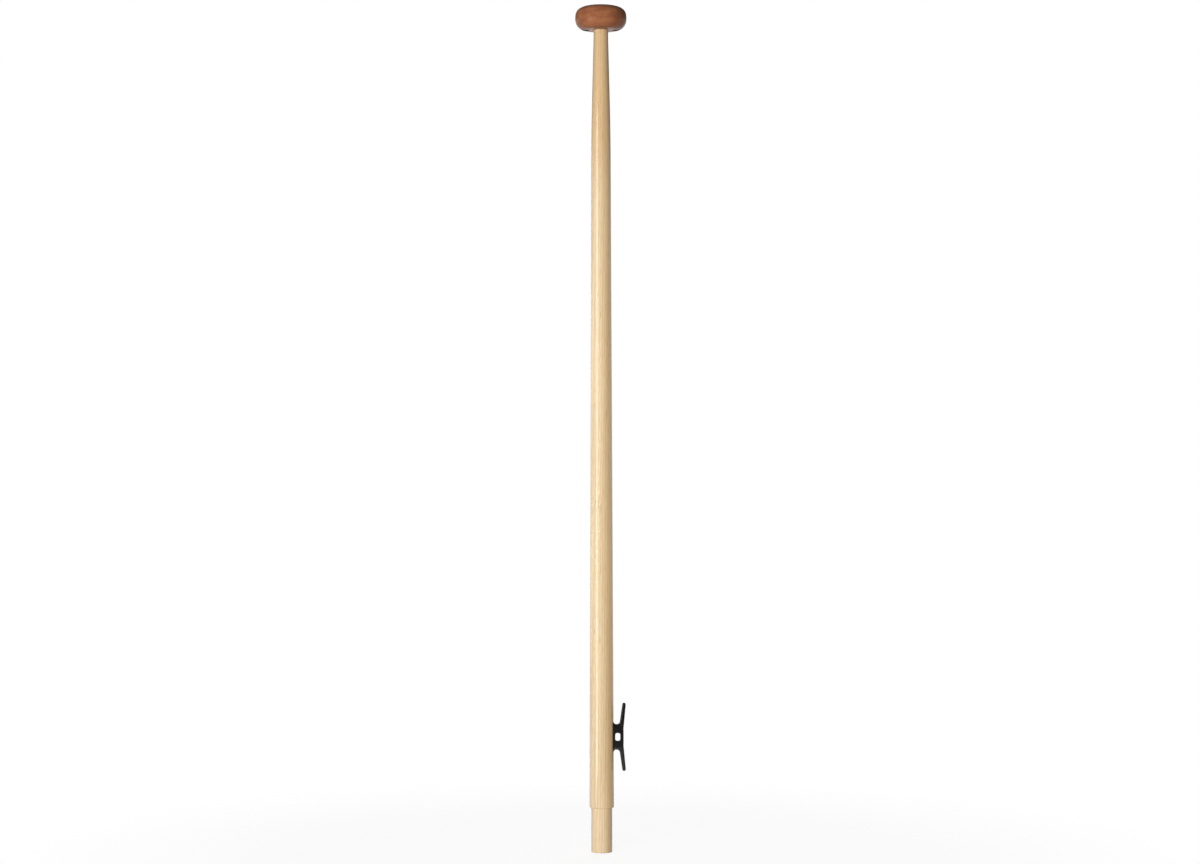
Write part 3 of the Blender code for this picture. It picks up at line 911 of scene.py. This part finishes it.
def addPanel(name, panel):  # angles turn to the right from the camera's side
    data = bpy.data.lights.new(name, "AREA")
    data.shape = "RECTANGLE"
    data.size, data.size_y = panel["size"]
    data.energy = panel["radiance"] * math.pi * data.size * data.size_y
    data.spread = math.radians(panel["spread"])
    if panel["spread"] < 180:  # a narrower beam of the same power would be brighter
        half = data.spread / 2
        data.energy *= 1 - half / math.tan(half)
    turn, distance = math.radians(panel["angle"]), panel["distance"]
    obj = bpy.data.objects.new(name, data)
    obj.location = (math.sin(turn) * distance, -math.cos(turn) * distance, panel["height"])
    aim = Vector((0, 0, stage["aimHeight"])) - obj.location
    obj.rotation_euler = aim.to_track_quat("-Z", "Y").to_euler()
    obj.visible_camera = False
    obj.visible_glossy = panel["mirrored"]
    obj.visible_diffuse = not panel["mirrored"]
    scene.collection.objects.link(obj)


def makeWorld():
    world = bpy.data.worlds.new("white room")
    scene.world = world
    world.use_nodes = True
    tree = world.node_tree
    tree.nodes.clear()
    path = addNode(tree, "ShaderNodeLightPath").outputs
    way = addNode(tree, "ShaderNodeSeparateXYZ", inputs={
        0: addNode(tree, "ShaderNodeTexCoord").outputs["Generated"]}).outputs
    # reflections see the white backdrop behind, up to just over the horizon, and a dim room elsewhere
    below = addNode(tree, "ShaderNodeMapRange", inputs={
        "Value": way["Z"], "From Min": stage["sweepTop"][0], "From Max": stage["sweepTop"][1],
        "To Min": stage["sweepAbove"]})
    behind = addNode(tree, "ShaderNodeMapRange", inputs={
        "Value": way["Y"], "From Min": stage["sweepBack"][0], "From Max": stage["sweepBack"][1]})
    sweep = addNode(tree, "ShaderNodeMath", {"operation": "MULTIPLY"}, {
        0: below.outputs[0], 1: behind.outputs[0]})
    mirrored = addNode(tree, "ShaderNodeMapRange", inputs={
        "Value": sweep.outputs[0], "To Min": stage["room"]})
    light = addNode(tree, "ShaderNodeMix", inputs={
        "Factor": path["Is Glossy Ray"], "A": stage["ambient"], "B": mirrored.outputs[0]})
    seen = addNode(tree, "ShaderNodeMath", {"operation": "MAXIMUM"}, {
        0: path["Is Camera Ray"], 1: path["Is Transmission Ray"]})
    strength = addNode(tree, "ShaderNodeMix", inputs={
        "Factor": seen.outputs[0], "A": light.outputs[0], "B": 1.0})
    backdrop = addNode(tree, "ShaderNodeBackground", inputs={
        "Color": (1, 1, 1, 1), "Strength": strength.outputs[0]})
    addNode(tree, "ShaderNodeOutputWorld", inputs={"Surface": backdrop.outputs[0]})


def makeFloor():
    bm = bmesh.new()
    bmesh.ops.create_grid(bm, x_segments=1, y_segments=1, size=stage["floorSize"] / 2)
    obj = meshObject("floor", bm)
    material = bpy.data.materials.new("white paper")
    material.use_nodes = True
    tree = material.node_tree
    tree.nodes.clear()
    path = addNode(tree, "ShaderNodeLightPath").outputs
    through = addNode(tree, "ShaderNodeMath", {"operation": "MAXIMUM"}, {
        0: path["Is Camera Ray"], 1: path["Is Transmission Ray"]})
    seen = addNode(tree, "ShaderNodeMath", {"operation": "MAXIMUM"}, {
        0: through.outputs[0], 1: path["Is Glossy Ray"]})
    glow = addNode(tree, "ShaderNodeMath", {"operation": "MULTIPLY"}, {
        0: seen.outputs[0], 1: stage["floorGlow"]})
    paper = addNode(tree, "ShaderNodeBsdfDiffuse", inputs={"Color": [stage["paper"]] * 3 + [1.0]})
    lift = addNode(tree, "ShaderNodeEmission", inputs={"Strength": glow.outputs[0]})
    white = addNode(tree, "ShaderNodeAddShader", inputs={0: paper.outputs[0], 1: lift.outputs[0]})
    place = addNode(tree, "ShaderNodeTexCoord").outputs["Object"]
    away = addNode(tree, "ShaderNodeVectorMath", {"operation": "LENGTH"}, {0: place})
    fade = addNode(tree, "ShaderNodeMapRange", {"interpolation_type": "SMOOTHSTEP"}, {
        "Value": away.outputs["Value"], "From Min": stage["floorFade"][0],
        "From Max": stage["floorFade"][1]})
    clear = addNode(tree, "ShaderNodeBsdfTransparent")
    mixed = addNode(tree, "ShaderNodeMixShader", inputs={
        0: fade.outputs[0], 1: white.outputs[0], 2: clear.outputs[0]})
    addNode(tree, "ShaderNodeOutputMaterial", inputs={"Surface": mixed.outputs[0]})
    obj.data.materials.append(material)


# Camera: level, square on to the staff and the cleat's side

view = {
    "lens": 85.0,
    "sensor": 36.0,
    "distance": 4.0176,
    "height": 0.5954,
    "frameWidth": 1200,
    "axisColumn": 601.3,  # the photograph's column that the staff stands on
    "roll": 0.067,  # degrees that the photograph leans
    "farthest": 50,
}


def makeCamera():
    data = bpy.data.cameras.new("camera")
    data.lens = view["lens"]
    data.sensor_width = view["sensor"]
    data.clip_end = view["farthest"]
    camera = bpy.data.objects.new("camera", data)
    pixel = view["distance"] * view["sensor"] / view["lens"] / view["frameWidth"]
    aside = (view["frameWidth"] / 2 - view["axisColumn"]) * pixel
    camera.location = (aside, -view["distance"], view["height"])
    camera.rotation_euler = (math.pi / 2, math.radians(view["roll"]), 0)
    scene.collection.objects.link(camera)
    scene.camera = camera


for name, panel in panels.items():
    addPanel(name, panel)
makeWorld()
makeFloor()
makeCamera()
print("stage done")
